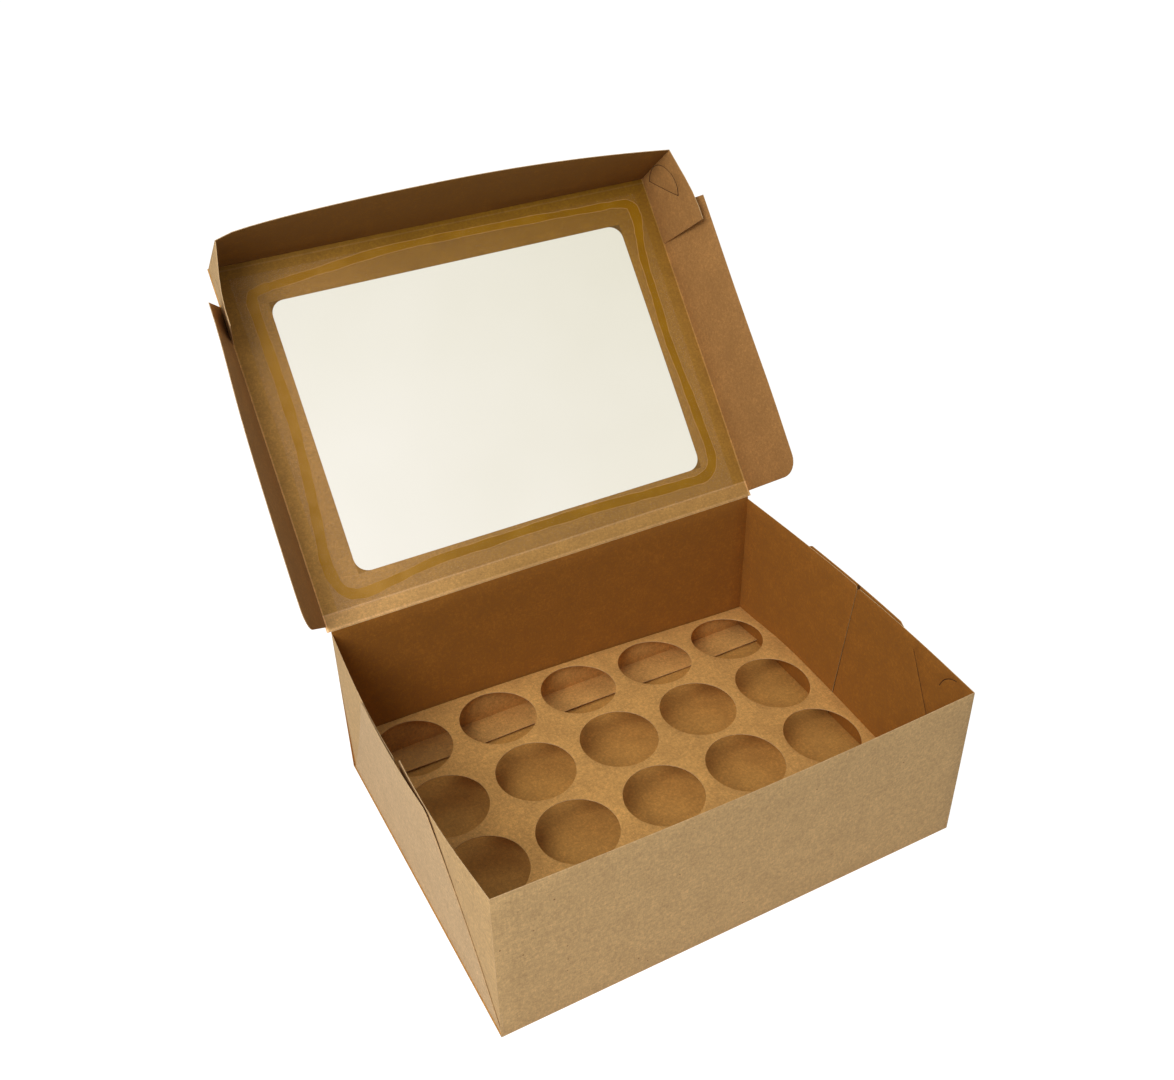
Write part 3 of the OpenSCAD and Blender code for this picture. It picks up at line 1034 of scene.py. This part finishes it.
class CARTON_OT_lid_panel(bpy.types.Operator):
    """Cuts the lid panel and its window"""
    bl_idname = "carton.lid_panel"
    bl_label = "Lid panel"

    def execute(self, context):
        lid = settings("carton_lid")
        hole = tall(cut_sheet("window", rounded_rect(
            lid.window_w, LID_L - 2 * lid.window_margin, lid.window_r, LID_L / 2)))
        rear = -CREASE - TAB_GAP
        sheet_piece("lid_panel", rect(-LID_W, rear, LID_W, LID_L), "lid", lid_stand(-BOARD),
                    ("outside", "lid_inside", "edge"), cutters=[hole], depth=lid_depth,
                    lines=((), [lid.second_score + k * SCORE_HALF for k in (-1, 0, 1)]))
        return {"FINISHED"}


GLUE_SAMPLES, GLUE_SEED = 420, 7
# Middle of the glue line, in mm along the lid, anticlockwise, with its width
GLUE_LINE = [
    (-149, 25, 8), (-137, 18, 8), (-112, 20, 7), (-80, 24, 6.5), (-40, 24.6, 7), (0, 25.4, 6.5),
    (44, 25.4, 7.5), (82, 24, 7), (113, 23.2, 7.5), (136, 24, 8), (146, 36, 8), (145.6, 68, 7.6),
    (144.4, 100, 7), (143, 131, 6.6), (144.4, 162, 7), (145.4, 193, 6.6), (148, 210, 7),
    (151, 225, 9), (149, 236, 9), (138, 239, 6), (113, 239.8, 6), (76, 241, 5.6), (20, 242, 6),
    (-43, 242, 6), (-90, 238, 6.4), (-121, 235, 6), (-138, 233, 7), (-145, 228, 8),
    (-145.4, 208, 8), (-144.6, 162, 8.2), (-145.2, 131, 7.6), (-147.6, 100, 7.4),
    (-150.8, 68, 8), (-153, 43, 8.4)]


def smooth_ring(points, count):
    """A closed smooth curve through the points, as count samples."""
    pts = np.array(points, float)
    n = len(pts)
    out = []
    for k in range(count):
        s = k * n / count
        i, t = int(s), s - int(s)
        p0, p1, p2, p3 = (pts[(i + d) % n] for d in (-1, 0, 1, 2))
        out.append(0.5 * (2 * p1 + (p2 - p0) * t + (2 * p0 - 5 * p1 + 4 * p2 - p3) * t * t
                          + (3 * p1 - p0 - 3 * p2 + p3) * t ** 3))
    return np.array(out)


class CARTON_OT_window(bpy.types.Operator):
    """Lays the film and its dried glue inside the lid"""
    bl_idname = "carton.window"
    bl_label = "Window"

    def execute(self, context):
        lid = settings("carton_lid")
        count = GLUE_SAMPLES
        ring = smooth_ring(GLUE_LINE, count)
        rng = np.random.default_rng(GLUE_SEED)
        line, width = ring[:, :2] * MM, ring[:, 2] * MM
        phase = rng.uniform(0, 2 * math.pi, 12)
        turn = np.arange(count) / count * 2 * math.pi
        for k in range(6):
            wave = GLUE_WAVE / (1 + 0.3 * k)
            width = width + wave * np.sin(turn * (17 + 11 * k) + phase[k])
        ahead = np.roll(line, -1, 0) - np.roll(line, 1, 0)
        side = np.stack([-ahead[:, 1], ahead[:, 0]], 1) / np.linalg.norm(ahead, axis=1)[:, None]
        obj = added(bpy.ops.mesh.primitive_circle_add, "glue_line", vertices=count, radius=1,
                    fill_type="NOTHING")
        edit_all(obj)
        for _ in range(3):
            bpy.ops.mesh.extrude_edges_move()
        object_mode()
        for v in obj.data.vertices:
            ring_no, i = divmod(v.index, count)
            half = width[i] / 2
            inner = half - GLUE_RIM
            p = line[i] + side[i] * (half, inner, -inner, -half)[ring_no]
            v.co = (-p[0], p[1], 0)
        turn_faces_out(obj)
        if obj.data.polygons[0].normal.z < 0:
            edit_all(obj)
            bpy.ops.mesh.flip_normals()
            object_mode()
        for key in ("glue", "glue_rim"):
            obj.data.materials.append(MATERIALS[key])
        finish_faces(obj, 1, lambda face: {i // count for i in face.vertices} != {1, 2})
        thicken(obj, GLUE_T)
        bend(obj, lid_depth)
        place(obj, *lid_stand(GLUE_T))
        turn_faces_out(obj)
        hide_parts("window_glue")
        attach(obj, "lid")

        half, margin, lap = lid.window_w / 2, lid.window_margin, lid.film_lap
        film = cut_sheet("window_film_sheet", rect(-half - lap, margin - lap, half + lap,
                                                   LID_L - margin + lap))
        for key in ("film", "film_lap"):
            film.data.materials.append(MATERIALS[key])
        thicken(film, FILM_T)
        rule(film, FILM_GRID, (-half, half), (margin, LID_L - margin))
        finish_faces(film, 1, lambda face: not (abs(face.center.x) < half
                                                and margin < face.center.y < LID_L - margin))
        bend(film, lid_depth)
        place(film, *lid_stand(GLUE_T))
        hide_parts("window_film")
        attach(film, "lid")
        return {"FINISHED"}


class CARTON_OT_lid_front_flap(bpy.types.Operator):
    """Cuts the lid's front flap and leans it out in the middle"""
    bl_idname = "carton.lid_front_flap"
    bl_label = "Lid front flap"

    def execute(self, context):
        lid = settings("carton_lid")

        def lean(x, v):
            across = min(max(x / TAB_X, -1), 1)
            return lid.front_lean * (1 - across ** 2) ** (0.5 if across > 0 else 1) \
                * max(v, 0) / FLAP_H

        sheet_piece("lid_front_flap", rect(-TAB_X, FOLD, TAB_X, FLAP_H), "lid_front",
                    (on_lid(0, LID_L), -AXIS_X, LID_V, LID_U),
                    ("outside", "front_inside", "edge"), depth=lean)
        return {"FINISHED"}


class CARTON_OT_lid_side_flaps(bpy.types.Operator):
    """Cuts the lid's side flaps, with their rounded back corners"""
    bl_idname = "carton.lid_side_flaps"
    bl_label = "Lid side flaps"

    def execute(self, context):
        rear, front, r = FLAP_REAR, LID_L - FLAP_FRONT, FLAP_R
        outline = [(rear, FOLD), (front, FOLD), (front - FLAP_RAKE, FLAP_H)]
        for i in range(9):
            a = math.radians(90 + 90 * i / 8)
            outline.append((rear + r + r * math.cos(a), FLAP_H - r + r * math.sin(a)))
        for side, word in SIDES:
            def twist(a, v, side=side, turns=SIDE_FLAP_TURNS[word]):
                turn = np.mean([np.interp(a * side / MM + d, FLAP_PLACES, turns)
                                for d in (-12, 0, 12)])
                return math.tan(math.radians(turn)) * max(v, 0)

            across, along = math.cos(FLAP_SPLAY), math.sin(FLAP_SPLAY)
            up = LID_V * across + AXIS_X * side * along
            out = AXIS_X * side * across - LID_V * along
            sheet_piece(f"lid_{word}_flap", on_side(side, outline), f"lid_{word}",
                        (on_lid(side * LID_W, 0), LID_U * side, up, out),
                        ("outside", "flap_inside", "edge"), depth=twist)
        return {"FINISHED"}


class CARTON_OT_lid_tabs(bpy.types.Operator):
    """Cuts the tabs at the ends of the lid's front flap and their half-moon tongues"""
    bl_idname = "carton.lid_tabs"
    bl_label = "Lid tabs and tongues"

    def execute(self, context):
        back, front = LID_L - TAB_LEN, LID_L - BOARD - SEAT
        outline = [(back + TAB_SLANT, TAB_FOOT), (front, TAB_FOOT), (front, FLAP_H),
                   (back, FLAP_H)]
        for side, word in SIDES:
            centre = (side * (LID_L - LOCK_FROM_FRONT), LOCK_FROM_PANEL)
            turn = -LOCK_TURN if side > 0 else LOCK_TURN
            room = tall(cut_sheet("moon", moon_outline(centre, LOCK_R, turn, 0)))
            wider = moon_outline(centre, LOCK_R + 2 * MOON_KERF, turn, -MOON_KERF)
            groove = tall(cut_sheet("groove", wider), *HALF_CUT)
            stand = (on_lid(side * TAB_X, 0), LID_U * side, LID_V, AXIS_X * side)

            def flare(a, v, end_bend=END_BENDS[word], side=side):
                run = clamped((front - a * side) / FLARE_RUN)
                return end_bend * hump(run / 2) ** 1.15 * max(v, 0) / FLAP_H

            sheet_piece(f"lid_{word}_tab", on_side(side, outline), f"{word}_tab", stand,
                        ("outside", "flap_inside", "edge", "cut_line"),
                        cutters=[room, groove], depth=flare)
            sheet_piece(f"{word}_lock_tongue",
                        moon_outline(centre, LOCK_R - TAB_GAP, turn, TAB_GAP),
                        f"{word}_tongue", stand, ("outside", "flap_inside", "cut_line"),
                        depth=flare, step=TONGUE_GRID)
        return {"FINISHED"}


# ---- Stage ----

FLOOR_SIZE, FLOOR_DROP = 12, 0.2 * MM
LAMP_TARGET = Vector((0, 0, 0.1))
LAMPS = (("key", (-1.15, -0.72, 1.4), 1.1), ("top", (-0.1, 0.1, 2.3), 1.8))  # place and width
CAMERA_AT = (-0.32103084, -0.54812064, 0.66562355)
CAMERA_AXES = ((0.8821459, -0.47062821, -0.01810253), (0.28468164, 0.50219928, 0.81654899),
               (-0.37519991, -0.7254688, 0.57699225))  # right, up and back
WHITE = (1, 1, 1, 1)


def area_lamp(name, spot, size, power):
    lamp = bpy.data.lights.new(name, "AREA")
    lamp.shape, lamp.size, lamp.energy = "DISK", size, power
    obj = bpy.data.objects.new(name, lamp)
    bpy.context.scene.collection.objects.link(obj)
    obj.location = spot
    obj.rotation_mode = "QUATERNION"
    obj.rotation_quaternion = (LAMP_TARGET - obj.location).to_track_quat("-Z", "Y")
    obj.visible_camera = False


def end_by_ray(add, output, lighting, backdrop):
    """Ends the nodes: the backdrop for rays that are seen, the lighting for all others."""
    path = add("ShaderNodeLightPath").outputs
    seen = maths(add, "MAXIMUM", path["Is Camera Ray"], path["Is Glossy Ray"])
    seen = maths(add, "MAXIMUM", seen, path["Is Transmission Ray"])
    mix = add("ShaderNodeMixShader", {0: seen, 1: lighting.outputs[0], 2: backdrop.outputs[0]})
    add(output, {0: mix.outputs[0]})


class CARTON_OT_stage(bpy.types.Operator):
    """Sets the floor, the lamps, the even light and the camera"""
    bl_idname = "carton.stage"
    bl_label = "Stage"

    def execute(self, context):
        stage = settings("carton_stage")
        scene = context.scene
        scene.view_settings.view_transform = "Standard"

        floor = added(bpy.ops.mesh.primitive_plane_add, "studio_floor", size=FLOOR_SIZE,
                      location=(0, 0, -FLOOR_DROP))
        apply_place(floor)
        mat = bpy.data.materials.new("Pale Floor")
        add = empty_nodes(mat)
        diffuse = add("ShaderNodeBsdfDiffuse", {0: (0.86, 0.86, 0.86, 1)})
        faint = add("ShaderNodeBsdfDiffuse", {0: (0.24, 0.24, 0.24, 1)})
        glow = add("ShaderNodeEmission", {1: 0.97})
        both = add("ShaderNodeAddShader", {0: faint.outputs[0], 1: glow.outputs[0]})
        end_by_ray(add, "ShaderNodeOutputMaterial", diffuse, both)
        floor.data.materials.append(mat)

        scene.world = bpy.data.worlds.new("Pale Room")
        add = empty_nodes(scene.world)
        even = add("ShaderNodeBackground", {0: WHITE, 1: stage.world})
        white = add("ShaderNodeBackground", {0: WHITE, 1: 1.0})
        end_by_ray(add, "ShaderNodeOutputWorld", even, white)
        for name, spot, size in LAMPS:
            area_lamp(name + "_lamp", spot, size, getattr(stage, name))

        camera = bpy.data.cameras.new("camera")
        cam = bpy.data.objects.new("camera", camera)
        scene.collection.objects.link(cam)
        camera.sensor_width = 36
        camera.lens = stage.lens
        camera.clip_start, camera.clip_end = 0.01, 50
        cam.matrix_world = frame_of(CAMERA_AT, *CAMERA_AXES)
        scene.camera = cam
        return {"FINISHED"}


OPERATORS = (CARTON_OT_floor, CARTON_OT_front_and_back, CARTON_OT_corner_flaps,
             CARTON_OT_side_panels, CARTON_OT_insert, CARTON_OT_lid_panel, CARTON_OT_window,
             CARTON_OT_lid_front_flap, CARTON_OT_lid_side_flaps, CARTON_OT_lid_tabs,
             CARTON_OT_stage)


class CARTON_PT_panel(bpy.types.Panel):
    """Buttons and settings of the carton"""
    bl_idname = "CARTON_PT_panel"
    bl_label = "Cake carton"
    bl_space_type = "VIEW_3D"
    bl_region_type = "UI"
    bl_category = "Carton"

    def draw(self, context):
        for name, group in GROUPS.items():
            box = self.layout.box()
            box.label(text=group.__doc__)
            for key in group.__annotations__:
                box.prop(getattr(context.scene, name), key)
        for operator in OPERATORS:
            self.layout.operator(operator.bl_idname)


def register():
    for cls in (*GROUPS.values(), *OPERATORS, CARTON_PT_panel):
        bpy.utils.register_class(cls)
    for name, group in GROUPS.items():
        setattr(bpy.types.Scene, name, bpy.props.PointerProperty(type=group))


def unregister():
    for name in GROUPS:
        delattr(bpy.types.Scene, name)
    for cls in reversed((*GROUPS.values(), *OPERATORS, CARTON_PT_panel)):
        bpy.utils.unregister_class(cls)


def main():
    register()
    build_materials()
    for operator in OPERATORS:
        area, action = operator.bl_idname.split(".")
        getattr(getattr(bpy.ops, area), action)()


if __name__ == "__main__":
    main()
